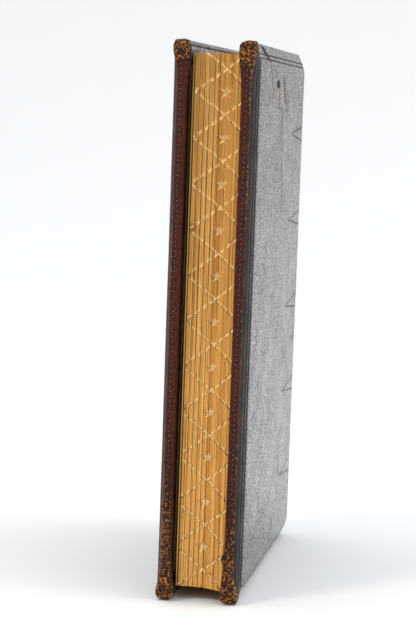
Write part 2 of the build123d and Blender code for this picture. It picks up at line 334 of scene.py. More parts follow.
# threads 0.8 mm apart, with glue brown between them
warp = node(tree, "TexWave", {"Vector": place, "Scale": 195.0, "Distortion": 0.8}, bands_direction="Z")[1]
weft = node(tree, "TexWave", {"Vector": place, "Scale": 195.0, "Distortion": 0.8}, bands_direction="X")[1]
weave = node(tree, "Math", {0: warp, 1: weft}, operation="MAXIMUM")[0]
cloth = node(tree, "Mix", {0: weave, 6: linear("#8a6f45"), 7: linear("#cfc3a4")}, data_type="RGBA")[2]
surface(tree, shader, cloth, weave, 0.12)
dress(mull_cloth, "mull")

# kraft paper with its fibres drawn out along the spine
kraft, tree, shader = finish_named("brown_kraft_paper", Roughness=0.8)
place = node(tree, "TexCoord")[3]
drawn = node(tree, "Mapping", {"Vector": place, "Scale": (1.0, 1.0, 0.12)})[0]
fibre = node(tree, "TexNoise", {"Vector": drawn, "Scale": 1400.0, "Detail": 5.0})[0]
brown = node(tree, "Mix", {0: fibre, 6: linear("#7c603c"), 7: linear("#a98a5e")}, data_type="RGBA")[2]
surface(tree, shader, brown, fibre, 0.05)
dress(kraft, "spine_lining")

# ---------------------------------------------------------------- head and tail bands
# Silk is wound over a cord core in red and cream blocks, and a cloth skirt is glued down over the folds.
# Each turn of the silk is a ring that follows the core.
bead_radius, silk_radius, silk_pitch = 0.78, 0.15, 0.26


def silk_finish(name, dark, light):
    """Reeled silk in one colour: a soft sheen, broken by its filaments."""
    material, tree, shader = finish_named(name, Roughness=0.42, Sheen_Weight=0.5)
    place = node(tree, "TexCoord")[3]
    # silk filaments about 0.05 mm apart, drawn 0.15 mm apart
    strands = node(tree, "TexNoise", {"Vector": place, "Scale": 5200.0, "Detail": 2.0})[0]
    colour = node(tree, "Mix", {0: strands, 6: linear(dark), 7: linear(light)}, data_type="RGBA")[2]
    surface(tree, shader, colour, strands, 0.03)
    return material


red_silk = silk_finish("wound_silk_red", "#5e1712", "#93281d")
cream_silk = silk_finish("wound_silk_cream", "#b39a68", "#ddc998")

winding = bpy.data.node_groups.new("silk_winding", "GeometryNodeTree")
for label, kind in (("Core", "NodeSocketGeometry"), ("Bead radius", "NodeSocketFloat"),
                    ("Silk radius", "NodeSocketFloat"), ("Turn to turn", "NodeSocketFloat")):
    winding.interface.new_socket(name=label, in_out="INPUT", socket_type=kind)
winding.interface.new_socket(name="Winding", in_out="OUTPUT", socket_type="NodeSocketGeometry")
given = node(winding, "NodeGroupInput")
line = node(winding, "GeometryNodeMeshToCurve", {"Mesh": given[0]})[0]
turns = node(winding, "GeometryNodeCurveToPoints", {"Curve": line, "Length": given[3]}, mode="LENGTH")
loop = node(winding, "GeometryNodeCurvePrimitiveCircle", {"Resolution": 14, "Radius": given[1]})[0]
strand = node(winding, "GeometryNodeCurvePrimitiveCircle", {"Resolution": 5, "Radius": given[2]})[0]
ring = node(winding, "GeometryNodeCurveToMesh", {"Curve": loop, "Profile Curve": strand})[0]
number = node(winding, "GeometryNodeInputIndex")[0]
block = node(winding, "Math", {0: number, 1: 8.0}, operation="MODULO")[0]
is_red = node(winding, "FunctionNodeCompare", {0: block, 1: 4.0}, data_type="FLOAT", operation="LESS_THAN")[0]
is_cream = node(winding, "FunctionNodeBooleanMath", {0: is_red}, operation="NOT")[0]
both = node(winding, "GeometryNodeJoinGeometry")
for chosen, silk in ((is_red, red_silk), (is_cream, cream_silk)):
    rings = node(winding, "GeometryNodeInstanceOnPoints", {
        "Points": turns[0], "Selection": chosen, "Instance": ring, "Rotation": turns[3]})[0]
    whole = node(winding, "GeometryNodeRealizeInstances", {"Geometry": rings})[0]
    shown = node(winding, "GeometryNodeSetMaterial", {"Geometry": whole, "Material": silk})[0]
    winding.links.new(shown, both[0].node.inputs[0])
node(winding, "NodeGroupOutput", {"Winding": both[0]})

middle_x = (hinge["front_cover"][0] + hinge["back_cover"][0]) / 2
back_half_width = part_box("head_band")[1][0] / MM - middle_x
for name in ("head_band", "tail_band"):
    low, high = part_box(name)
    bead_z = (high[2] / MM - 0.9) if name == "head_band" else (low[2] / MM + 0.9)
    crown, shoulder = high[1] / MM - 0.88, low[1] / MM + 0.78
    reach = back_half_width - 0.5
    core_line = [((middle_x + s * reach) * MM, (crown - (crown - shoulder) * s * s) * MM, bead_z * MM)
                 for s in np.linspace(-1, 1, 33)]
    path = bpy.data.meshes.new(f"{name}_core_line")
    path.from_pydata(core_line, [(i, i + 1) for i in range(32)], [])
    carrier = bpy.data.objects.new(f"{name}_carrier", path)
    bpy.context.scene.collection.objects.link(carrier)
    wind = carrier.modifiers.new("wind", "NODES")
    wind.node_group = winding
    keys = {s.name: s.identifier for s in winding.interface.items_tree if s.in_out == "INPUT"}
    wind[keys["Bead radius"]] = (bead_radius - silk_radius) * MM
    wind[keys["Silk radius"]] = silk_radius * MM
    wind[keys["Turn to turn"]] = silk_pitch * MM
    bpy.context.view_layer.update()
    wound = bpy.data.meshes.new_from_object(carrier.evaluated_get(bpy.context.evaluated_depsgraph_get()))
    bpy.data.objects.remove(carrier)
    wound.name = f"{name}_silk"
    silk_piece = bpy.data.objects.new(f"{name}_silk", wound)
    bpy.context.scene.collection.objects.link(silk_piece)
    wound.polygons.foreach_set("use_smooth", [True] * len(wound.polygons))
    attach(silk_piece, "spine")
dress(linen, "head_band", "tail_band")

# ---------------------------------------------------------------- flyleaves
# A free leaf of endpaper next to each board, trimmed and gilt together with the leaves.
# laid rag paper, toned and foxed, with gold only on its cut edges
flyleaf, tree, shader = finish_named("laid_endpaper_gilt_edge")
coordinates = node(tree, "TexCoord")
place, facing = coordinates[3], node(tree, "SeparateXYZ", {0: coordinates[1]})
flat = node(tree, "Math", {0: facing[0]}, operation="ABSOLUTE")[0]
is_edge = node(tree, "Math", {0: flat, 1: 0.7}, operation="LESS_THAN")[0]
# laid lines 1.1 mm apart
laid = node(tree, "TexWave", {"Vector": place, "Scale": 143.0, "Distortion": 0.3}, bands_direction="Z")[1]
fibre = node(tree, "TexNoise", {"Vector": place, "Scale": 800.0, "Detail": 6.0, "Roughness": 0.7})[0]
tone = node(tree, "TexNoise", {"Vector": place, "Scale": 30.0, "Detail": 5.0})[0]
tone = node(tree, "MapRange", {0: tone, 1: 0.35, 2: 0.7})[0]
paper = node(tree, "Mix", {0: tone, 6: linear("#d8c7a0"), 7: linear("#bfa678")}, data_type="RGBA")[2]
spots = node(tree, "TexNoise", {"Vector": place, "Scale": 160.0, "Detail": 4.0})[0]
spots = node(tree, "MapRange", {0: spots, 1: 0.66, 2: 0.76, 3: 0.0, 4: 0.75})[0]
paper = node(tree, "Mix", {0: spots, 6: paper, 7: linear("#916a3c")}, data_type="RGBA")[2]
paper = node(tree, "Mix", {0: is_edge, 6: paper, 7: linear("#cf9a48")}, data_type="RGBA")[2]
tree.links.new(is_edge, shader.inputs["Metallic"])
rough = node(tree, "MapRange", {0: is_edge, 3: 0.85, 4: 0.38})[0]
tree.links.new(rough, shader.inputs["Roughness"])
ribs = node(tree, "Math", {0: laid, 1: 0.3, 2: fibre}, operation="MULTIPLY_ADD")[0]
surface(tree, shader, paper, ribs, 0.04, 0.4)
dress(flyleaf, "front_flyleaf", "back_flyleaf")

# ---------------------------------------------------------------- boards, infills, stiffener and band cores
# Dense pulp board and thinner card, cut with a knife: grey-brown with flecks of fibre. The leather hides them.
# pulped rope and paper, milled flat: coarse, matt and flecked
board, tree, shader = finish_named("pulp_millboard", Roughness=0.9)
place = node(tree, "TexCoord")[3]
fleck = node(tree, "TexNoise", {"Vector": place, "Scale": 1100.0, "Detail": 5.0, "Roughness": 0.8})[0]
grey = node(tree, "Mix", {0: fleck, 6: linear("#6c5a43"), 7: linear("#a08a68")}, data_type="RGBA")[2]
surface(tree, shader, grey, fleck, 0.08)
dress(board, "front_board", "back_board", "front_infill", "back_infill", "spine_stiffener", "raised_bands")

# ---------------------------------------------------------------- leather of the two covers
# Goatskin is pared, pasted over the board and turned in at three edges. The edge has a row of punched dots, the
# outer face a cushioned bevel and a blind double fillet. It is rubbed to red-brown and tan at edges and corners.
hinge_x = (hinge["back_cover"][0] - hinge["front_cover"][0]) / 2
hinge_y = hinge["back_cover"][1]
cover_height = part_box("back_cover_leather")[1][2] / MM
cover_width = hinge_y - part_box("back_cover_leather")[0][1] / MM
joint_gap = 0.85
face_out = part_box("back_cover_leather")[1][0] / MM - hinge["back_cover"][0]
face_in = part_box("back_cover_leather")[0][0] / MM - hinge["back_cover"][0]
corner = 3.8
dart_pitch, first_dart, dart_tip, dart_slope = 30.8, 27.8, 84.5, 0.09
dot_pitch = 1.6
knob_reach, knob_wear = 4.2, 5.5            # how far the knob of a corner and its wear reach
flap_height, flap_stands = 15, 1.1          # the torn flap on the inner arris of the back cover
chip_heights = (8, 17.7, 31, 45.8, 54, 101.6)
hole_in, hole_up, hole_depth = 46.2, 167.5, 0.6
# each stroke runs from one place to another (distance in from the fore-edge, height), with a width and a strength
scratches = ((57, 160, 61, 145, 0.7, 0.66), (61, 145, 65, 124, 0.6, 0.66), (60, 169.5, 65, 162, 2.4, 0.62),
             (70, 166, 72, 159, 2.0, 0.5), (50, 165.5, 51, 159, 0.9, 0.6), (26, 176, 37, 163, 0.6, 0.72),
             (66, 112, 68, 96, 1.2, 0.4))
creases = ((6, 181.5, 18, 179.5, 1.0), (18, 179.5, 26, 175, 1.0), (46, 168.2, 46.4, 166.9, 1.1))
stroke_draw = 0.22                          # strokes are this much narrower up the board than across it

# goatskin dyed black and glazed: lively on the tops of its pebbles, dull and brown where the dye has gone
morocco, tree, shader = finish_named("black_morocco_goatskin", IOR=1.5, Specular_IOR_Level=0.2)
place = node(tree, "TexCoord")[3]
leather_marks = ("rim", "wear", "tool", "along", "across", "out", "lift", "scuff")
rim, wear, tool, along, across, out, lift, scuff = (
    node(tree, "Attribute", attribute_name=mark)[2] for mark in leather_marks)
# the skin was boarded so that its pebbles lie across the board: they are 0.6 mm high and 2.5 mm long
drawn = node(tree, "Mapping", {"Vector": place, "Scale": (1.0, 0.26, 1.0)})[0]
pebble = node(tree, "TexVoronoi", {"Vector": drawn, "Scale": 1400.0}, feature="SMOOTH_F1")[0]
pores = node(tree, "TexNoise", {"Vector": drawn, "Scale": 2200.0, "Detail": 3.0, "Roughness": 0.6})[0]
hide = node(tree, "TexNoise", {"Vector": place, "Scale": 75.0, "Detail": 4.0, "Roughness": 0.6})[0]
mottle = node(tree, "TexNoise", {"Vector": place, "Scale": 1150.0, "Detail": 4.0, "Roughness": 0.75})[0]
tint = node(tree, "MapRange", {0: hide, 1: 0.35, 2: 0.65})[0]
skin = node(tree, "Mix", {0: tint, 6: linear("#17110d"), 7: linear("#33261e")}, data_type="RGBA")[2]
red = node(tree, "MapRange", {0: mottle, 1: 0.36, 2: 0.62})[0]
edge = node(tree, "Mix", {0: red, 6: linear("#1e0a04"), 7: linear("#602410")}, data_type="RGBA")[2]
skin = node(tree, "Mix", {0: rim, 6: skin, 7: edge}, data_type="RGBA")[2]
# handling has blackened the corners around the patches that are rubbed through
grime = node(tree, "MapRange", {0: wear, 1: 0.24, 2: 0.42, 3: 0.0, 4: 0.7})[0]
skin = node(tree, "Mix", {0: grime, 6: skin, 7: linear("#140c09")}, data_type="RGBA")[2]
worn = node(tree, "Math", {0: mottle, 1: wear}, operation="ADD")[0]
worn = node(tree, "MapRange", {0: worn, 1: 0.955, 2: 1.05})[0]
tan = node(tree, "Mix", {0: pores, 6: linear("#74380f"), 7: linear("#cc8a42")}, data_type="RGBA")[2]
skin = node(tree, "Mix", {0: worn, 6: skin, 7: tan}, data_type="RGBA")[2]
# the fillets and a row of darts by the joint are pressed with a hot tool, which darkens and smooths them
x_out = node(tree, "Math", {0: out, 1: MM}, operation="DIVIDE")[0]
z_up = node(tree, "Math", {0: lift, 1: MM}, operation="DIVIDE")[0]
beat = node(tree, "Math", {0: z_up, 1: first_dart - dart_pitch / 2}, operation="SUBTRACT")[0]
beat = node(tree, "Math", {0: beat, 1: dart_pitch}, operation="DIVIDE")[0]
beat = node(tree, "Math", {0: beat}, operation="FRACT")[0]
beat = node(tree, "Math", {0: apart(tree, beat, 0.5), 1: dart_pitch}, operation="MULTIPLY")[0]
dart = node(tree, "Math", {0: x_out, 1: -dart_slope, 2: dart_slope * dart_tip}, operation="MULTIPLY_ADD")[0]
off = node(tree, "Math", {0: beat, 1: dart}, operation="ADD")[0]
off = node(tree, "Math", {0: off}, operation="ABSOLUTE")[0]
line_near = node(tree, "MapRange", {0: off, 1: 0.14, 2: 0.45, 3: 0.6, 4: 0.0})[0]
on_face = node(tree, "MapRange", {0: x_out, 1: 83.0, 2: 85.0})[0]
line_near = node(tree, "Math", {0: line_near, 1: on_face}, operation="MULTIPLY")[0]
pressed = node(tree, "Math", {0: line_near, 1: tool}, operation="MAXIMUM")[0]
darkened = node(tree, "Math", {0: pressed, 1: 0.85}, operation="MULTIPLY")[0]
skin = node(tree, "Mix", {0: darkened, 6: skin, 7: linear("#0c0d12")}, data_type="RGBA")[2]
# punched dots 1.6 mm apart along the middle of the edge, each with a painted glint as a light speck at its middle
dot_at = node(tree, "Math", {0: along, 1: dot_pitch * MM}, operation="DIVIDE")[0]
dot_at = node(tree, "Math", {0: dot_at}, operation="FRACT")[0]
dot_at = node(tree, "Math", {0: dot_at, 1: 0.5}, operation="SUBTRACT")[0]
dot_at = node(tree, "Math", {0: dot_at, 1: dot_pitch}, operation="MULTIPLY")[0]
dot_off = node(tree, "Math", {0: across, 1: MM}, operation="DIVIDE")[0]
spot = node(tree, "CombineXYZ", {0: dot_at, 1: dot_off, 2: 0.0})[0]
spot = node(tree, "VectorMath", {0: spot}, operation="LENGTH")[1]
dot = node(tree, "MapRange", {0: spot, 1: 0.42, 2: 0.6, 3: 1.0, 4: 0.0})[0]
clear = node(tree, "MapRange", {0: wear, 1: 0.3, 2: 0.42, 3: 1.0, 4: 0.0})[0]
clear = node(tree, "Math", {0: clear, 1: rim}, operation="MULTIPLY")[0]
dot = node(tree, "Math", {0: dot, 1: clear}, operation="MULTIPLY")[0]
# painted glint: a light grey speck at the middle of each dot
dot_glint = node(tree, "MapRange", {0: spot, 1: 0.14, 2: 0.3, 3: 0.6, 4: 0.0})[0]
dot_glint = node(tree, "Math", {0: dot_glint, 1: clear}, operation="MULTIPLY")[0]
skin = node(tree, "Mix", {0: dot, 6: skin, 7: linear("#160d0b")}, data_type="RGBA")[2]
skin = node(tree, "Mix", {0: dot_glint, 6: skin, 7: linear("#8d7d78")}, data_type="RGBA")[2]
# scratches and rubs on the outer face of the back cover, then a crease across its corner and the worm hole, sunk
# and painted near-black as painted shade
wide_x = node(tree, "Math", {0: x_out, 1: stroke_draw}, operation="MULTIPLY")[0]
spot = node(tree, "CombineXYZ", {0: wide_x, 1: z_up, 2: 0.0})[0]
rubbed, creased_and_shaded = 0.0, 0.0
for x0, z0, x1, z1, wide, *much in scratches + creases:
    x0, x1 = stroke_draw * x0, stroke_draw * x1
    size = sqrt((x1 - x0) ** 2 + (z1 - z0) ** 2)
    way = ((x1 - x0) / size, (z1 - z0) / size, 0.0)
    arm = node(tree, "VectorMath", {0: spot, 1: (x0, z0, 0.0)}, operation="SUBTRACT")[0]
    gone = node(tree, "VectorMath", {0: arm, 1: way}, operation="DOT_PRODUCT")[1]
    gone = node(tree, "Clamp", {0: gone, 1: 0.0, 2: size})[0]
    foot = node(tree, "VectorMath", {0: way, "Scale": gone}, operation="SCALE")[0]
    gap = node(tree, "VectorMath", {0: arm, 1: foot}, operation="DISTANCE")[1]
    near = node(tree, "MapRange", {0: gap, 1: 0.0, 2: wide, 3: much[0] if much else 1.0, 4: 0.0})[0]
    if much:
        rubbed = node(tree, "Math", {0: near, 1: rubbed}, operation="MAXIMUM")[0]
    else:
        creased_and_shaded = node(tree, "Math", {0: near, 1: creased_and_shaded}, operation="MAXIMUM")[0]
# painted shade: the creases and the worm hole are darkened to near-black, as if in shade
creased_and_shaded = node(tree, "MapRange", {0: creased_and_shaded, 1: 0.15, 2: 0.5})[0]
creased_and_shaded = node(tree, "Math", {0: creased_and_shaded, 1: scuff}, operation="MULTIPLY")[0]
skin = node(tree, "Mix", {0: creased_and_shaded, 6: skin, 7: linear("#070606")}, data_type="RGBA")[2]
rubbed = node(tree, "Math", {0: rubbed, 1: scuff}, operation="MULTIPLY")[0]
rubbed = node(tree, "Math", {0: mottle, 1: rubbed}, operation="ADD")[0]
rubbed = node(tree, "MapRange", {0: rubbed, 1: 0.88, 2: 1.12, 3: 0.0, 4: 0.85})[0]
skin = node(tree, "Mix", {0: rubbed, 6: skin, 7: linear("#5a3d14")}, data_type="RGBA")[2]
tree.links.new(skin, shader.inputs["Base Color"])
raw = node(tree, "Math", {0: worn, 1: rubbed}, operation="MAXIMUM")[0]
# polished on the tops of the pebbles, and dull between them, in the tool marks and where it is worn
top = node(tree, "MapRange", {0: pores, 1: 0.36, 2: 0.6})[0]
rough = node(tree, "MapRange", {0: top, 3: 0.52, 4: 0.2})[0]
# the bevel along the fore-edge is dry and nearly black
bevel = node(tree, "MapRange", {0: x_out, 1: 2.3, 2: 3.3, 3: 0.95, 4: 0.0})[0]
bevel = node(tree, "Math", {0: bevel, 1: scuff}, operation="MULTIPLY")[0]
dull = raw
for matt in (rim, pressed, creased_and_shaded, bevel):
    dull = node(tree, "Math", {0: dull, 1: matt}, operation="MAXIMUM")[0]
rough = node(tree, "Mix", {0: dull, 2: rough, 3: 0.68})[0]
tree.links.new(rough, shader.inputs["Roughness"])
shine = node(tree, "Math", {0: 1.0, 1: dull}, operation="SUBTRACT")[0]
patchy = node(tree, "MapRange", {0: top, 3: 0.26, 4: 0.6})[0]
# it is handled most, and so smoothest, towards the spine
handled = node(tree, "MapRange", {0: x_out, 1: 8.0, 2: 75.0, 3: 0.0, 4: 0.85})[0]
patchy = node(tree, "Mix", {0: handled, 2: patchy, 3: 0.53})[0]
aired = node(tree, "MapRange", {0: z_up, 1: 110.0, 2: 175.0, 3: 1.0, 4: 0.62})[0]
patchy = node(tree, "Math", {0: patchy, 1: aired}, operation="MULTIPLY")[0]
cloudy = node(tree, "MapRange", {0: hide, 1: 0.35, 2: 0.65, 3: 0.7, 4: 1.25})[0]
patchy = node(tree, "Math", {0: patchy, 1: cloudy}, operation="MULTIPLY")[0]
shine = node(tree, "Math", {0: shine, 1: patchy}, operation="MULTIPLY")[0]
tree.links.new(shine, shader.inputs["Coat Weight"])
shader.inputs["Coat Roughness"].default_value = 0.16
grain = node(tree, "Math", {0: pebble, 1: -1.0, 2: 1.0}, operation="MULTIPLY_ADD")[0]
grain = node(tree, "Math", {0: pores, 1: 0.8, 2: grain}, operation="MULTIPLY_ADD")[0]
flat = node(tree, "MapRange", {0: pressed, 3: 1.0, 4: 0.15})[0]
grain = node(tree, "Math", {0: grain, 1: flat}, operation="MULTIPLY")[0]
worn_flat = node(tree, "Math", {0: handled, 1: -0.65, 2: 1.0}, operation="MULTIPLY_ADD")[0]
grain = node(tree, "Math", {0: grain, 1: worn_flat}, operation="MULTIPLY")[0]
for sunk, depth in ((dot, -2.2), (line_near, -2.6), (creased_and_shaded, -2.6)):
    grain = node(tree, "Math", {0: sunk, 1: depth, 2: grain}, operation="MULTIPLY_ADD")[0]
fine_bump = node(tree, "Bump", {"Strength": 0.7, "Distance": 0.00009, "Height": grain})[0]
broad_bump = node(tree, "Bump", {"Strength": 0.5, "Distance": 0.0006, "Height": hide, "Normal": fine_bump})[0]
tree.links.new(broad_bump, shader.inputs["Normal"])

# profile over the edge, from the outer face to the inner one: (distance in from the outline, drop from the
# outer face, how much tool, how much edge)
thick = face_out - face_in
profile = [(9.0, 0, 0, 0), (7.2, 0, 0, 0), (6.2, 0.04, 0, 0), (5.55, 0.14, 0, 0), (5.25, 0.24, 0.2, 0),
           (5.08, 0.48, 1, 0), (4.88, 0.52, 1, 0), (4.7, 0.44, 0.2, 0), (4.4, 0.55, 0, 0), (4.05, 0.7, 0, 0),
           (3.85, 0.82, 0.2, 0), (3.68, 1.06, 1, 0), (3.48, 1.12, 1, 0), (3.3, 1.06, 0.2, 0), (3.0, 1.18, 0, 0),
           (2.5, 1.38, 0, 0), (2.0, 1.56, 0, 0), (1.5, 1.75, 0, 0), (1.05, 1.95, 0, 0.15), (0.7, 2.14, 0, 0.45),
           (0.4, 2.38, 0, 0.8), (0.18, 2.66, 0, 1), (0.05, 2.98, 0, 1), (0, 3.3, 0, 1), (0, 3.6, 0, 1),
           (0.01, 3.9, 0, 1), (0.07, 4.18, 0, 1), (0.2, 4.45, 0, 1), (0.4, 4.66, 0, 0.8), (0.7, 4.82, 0, 0.4),
           (1.1, thick, 0, 0), (1.6, thick, 0, 0), (1.75, thick - 0.12, 1, 0), (1.9, thick, 0, 0),
           (3.4, thick, 0, 0), (8.5, thick, 0, 0)]
edge_middle = face_out - 3.5


def waver(s, seed, amount, length):
    """A slow random waver along a line."""
    phase = np.random.default_rng(seed).uniform(0, 2 * pi, 4)
    return amount * sum(np.sin(2 * pi * s / (length / (k + 1)) + phase[k]) / (k + 1) for k in range(4)) / 2


def cover_skin(name, side, ajar):
    """The leather of one cover, from the joint round the three edges to the turn-ins."""
    steps_v = np.linspace(joint_gap, cover_width, 76)
    steps_z = np.linspace(0, cover_height, 241)
    nv, nz = len(steps_v), len(steps_z)
    path = ([(v, 0.0) for v in steps_v] + [(cover_width, z) for z in steps_z[1:]]
            + [(v, cover_height) for v in steps_v[::-1][1:]])
    path = np.array(path)
    count = len(path)
    travel = np.r_[0, np.cumsum(np.hypot(*np.diff(path, axis=0).T))]

    def spread(inset):
        """The path moved in by an inset, with its corners rounded."""
        v = joint_gap + (path[:, 0] - joint_gap) * (cover_width - inset - joint_gap) / (cover_width - joint_gap)
        z = inset + path[:, 1] * (cover_height - 2 * inset) / cover_height
        r = max(corner - inset, 0.15)
        low, high = inset + r, cover_height - inset - r
        for middle_z, beyond in ((low, z < low), (high, z > high)):
            far = (v > cover_width - inset - r) & beyond
            dv, dz = v[far] - (cover_width - inset - r), z[far] - middle_z
            size = np.maximum(np.hypot(dv, dz), 1e-6)
            v[far], z[far] = cover_width - inset - r + dv / size * r, middle_z + dz / size * r
        return v, z

    points, marks = [], {k: [] for k in leather_marks}

    def lay(v, z, u, tool, rim, inset, run):
        """Adds points, with the wear, bulges and marks that belong to their places."""
        v, z, u = np.array(v, float), np.array(z, float), np.full(len(v), u, float)
        height = np.minimum(z, cover_height - z)
        if side < 0 and 1 < inset < 5.6 and rim < 1:
            rim = float(1 - smooth(np.array(inset), 3.2, 5.6))
        from_corner = np.hypot(cover_width - 2.4 - v, height - 2.6)
        ball = np.exp(-(from_corner / knob_reach) ** 2)
        drop = face_out - u
        # the skin is pleated over the corners, which makes a knob: it fills the bevel, and stands proud inside
        u += np.where(drop < 2.9, 0.75 * drop * ball, 0)
        square = smooth(v, cover_width - 3.7, cover_width - 1.6)
        u -= smooth(drop, 3.4, thick) * square * (1.25 * np.exp(-((height - 2) / 9) ** 2) + 0.3)
        # a torn flap stands towards the leaves near the tail of the back cover
        u -= smooth(drop, 3.6, thick) * square * flap_stands * np.exp(-((z - flap_height) / 1.5) ** 2) * (side > 0)
        # chips of skin stand off the outer arris of the front cover
        chips = sum(np.exp(-((z - at) / 0.7) ** 2) for at in chip_heights) * (side < 0)
        chips = chips * np.exp(-((drop - 2.5) / 0.4) ** 2) * (v > cover_width - 2)
        v, u = v + 0.35 * chips, u + 0.6 * chips
        # a worm hole goes into the outer face of the back cover
        hole = np.exp(-((cover_width - v - hole_in) / 1.7) ** 2 - ((z - hole_up) / 0.75) ** 2)
        u -= hole_depth * hole * (side > 0) * (inset > 15) * (drop < 0.5)
        grow = 0.4 * ball * rim
        v += grow * (v > cover_width - 3)
        z += grow * (z > cover_height - 3)
        flake = np.maximum(waver(run, 21 + side, 1.0, 7.3) * waver(run, 27 + side, 1.0, 23.0) - 0.55, 0)
        ragged = waver(run + 31 * side, 11 + side, 0.1, 37.0) + 0.45 * flake * (z < 110)
        v += rim * ragged * (v > cover_width - 1.5)
        u += waver(z * 0.7 + v * 1.3, 5 + side, 0.05, 60.0) * (1 - rim)
        # rubbed through at the corners, along the outer arris, and in patches of the edges
        arris = np.exp(-((drop - 2.2) / 0.55) ** 2) * (inset < 1.6)
        patch = 0.5 + 0.5 * np.sin(run * 0.11 + side) * np.sin(run * 0.043 + 2.0)
        upper = smooth(z, 95, 135) * (side > 0)
        rubbed = 0.42 * np.exp(-(from_corner / knob_wear) ** 2) * (0.35 + 0.65 * max(rim, 1.0 * (inset < 3)))
        rubbed += arris * (0.12 + 0.16 * patch + 0.16 * upper * (v > cover_width - 3))
        rubbed += rim * (0.16 + 0.22 * (1 - smooth(z, 25, 70)) + 0.08 * patch)
        rubbed += 0.3 * chips
        rubbed = np.minimum(rubbed, 0.45)
        scuffed = 1.0 if side > 0 and drop.mean() < 2.0 else 0.0
        outward = np.array([side * cos(radians(ajar)), sin(radians(ajar)), 0.0])
        forward = np.array([side * sin(radians(ajar)), -cos(radians(ajar)), 0.0])
        start = np.array([middle_x + side * hinge_x, hinge_y, 0.0])
        world = start + np.outer(u, outward) + np.outer(v, forward)
        world[:, 2] = np.clip(z, 0.0, None)
        first = sum(len(p) for p in points)
        points.append(world)
        # only the fore-edge has gone red: the edges at head and tail are still black
        reddened = rim * smooth(v, cover_width - 9, cover_width - 3)
        for key, value in (("rim", reddened), ("wear", rubbed), ("tool", tool), ("along", run * MM),
                           ("across", (u - edge_middle) * MM), ("out", (cover_width - v) * MM), ("lift", z * MM),
                           ("scuff", scuffed)):
            marks[key].append(np.broadcast_to(np.asarray(value, float), (len(v),)))
        return first

    faces, rings = [], []
    for inset, drop, tool, rim in profile:
        v, z = spread(inset)
        rings.append(lay(v, z, face_out - drop, tool, rim, inset, travel))
    for a, b in zip(rings, rings[1:]):
        faces += [(a + i, a + i + 1, b + i + 1, b + i) for i in range(count - 1)]
    # inside the first and last rings, a lattice fills the outer face and the inner face
    for ring, (inset, drop, _, _) in ((rings[0], profile[0]), (rings[-1], profile[-1])):
        lv = joint_gap + (steps_v - joint_gap) * (cover_width - inset - joint_gap) / (cover_width - joint_gap)
        lz = inset + steps_z * (cover_height - 2 * inset) / cover_height
        index = np.zeros((nv, nz), int)
        index[:, 0] = ring + np.arange(nv)
        index[-1, :] = ring + nv - 1 + np.arange(nz)
        index[:, -1] = (ring + count - 1 - np.arange(nv))
        gv, gz = np.meshgrid(lv[:-1], lz[1:-1], indexing="ij")
        first = lay(gv.ravel(), gz.ravel(), face_out - drop, 0, 0, 20.0, np.zeros(gv.size))
        index[:-1, 1:-1] = first + np.arange(gv.size).reshape(gv.shape)
        for i in range(nv - 1):
            for k in range(nz - 1):
                faces.append((index[i, k], index[i + 1, k], index[i + 1, k + 1], index[i, k + 1]))
        if ring == rings[0]:
            outer_line = list(index[0, :])
        else:
            inner_line = list(index[0, :])
    # the wall along the joint joins the two faces
    head_side = [r + count - 1 for r in rings[1:-1]]
    wall = outer_line + head_side + inner_line[::-1] + rings[1:-1][::-1]
    faces.append(tuple(int(i) for i in wall))
    points = np.concatenate(points)
    marks = {k: np.concatenate(v) for k, v in marks.items()}
    return plain_mesh(name, points, faces, (morocco,), marks, crease=55)


for side, cover, ajar in ((-1, "front_cover", front_ajar), (1, "back_cover", 0.0)):
    skin_piece = cover_skin(f"{cover}_goatskin", side, ajar)
    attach(skin_piece, cover)
    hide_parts(f"{cover}_leather")

# ---------------------------------------------------------------- leather of the two joints
# The same skin goes on over the hinge line to the spine. It bends there each time that a board is opened.
spine_rise, spine_skin, joint_degrees = 3.0, 0.8, 7.0
spine_radius = (hinge_x ** 2 + spine_rise ** 2) / (2 * spine_rise)
spine_centre_y = hinge_y + spine_rise - spine_radius
hinge_degrees = degrees(asin(hinge_x / spine_radius))


def end_dip(z, shoulder=0.0):
    """How far the leather sinks at head and tail, where the bevel runs out. A shoulder carries it further in."""
    return np.interp(np.minimum(z, cover_height - z), (0, 4.0, 5.2, 6.2, 7.5),
                     (2.7, 0.85 * shoulder, 0.6 * shoulder, 0.15 * shoulder, 0))


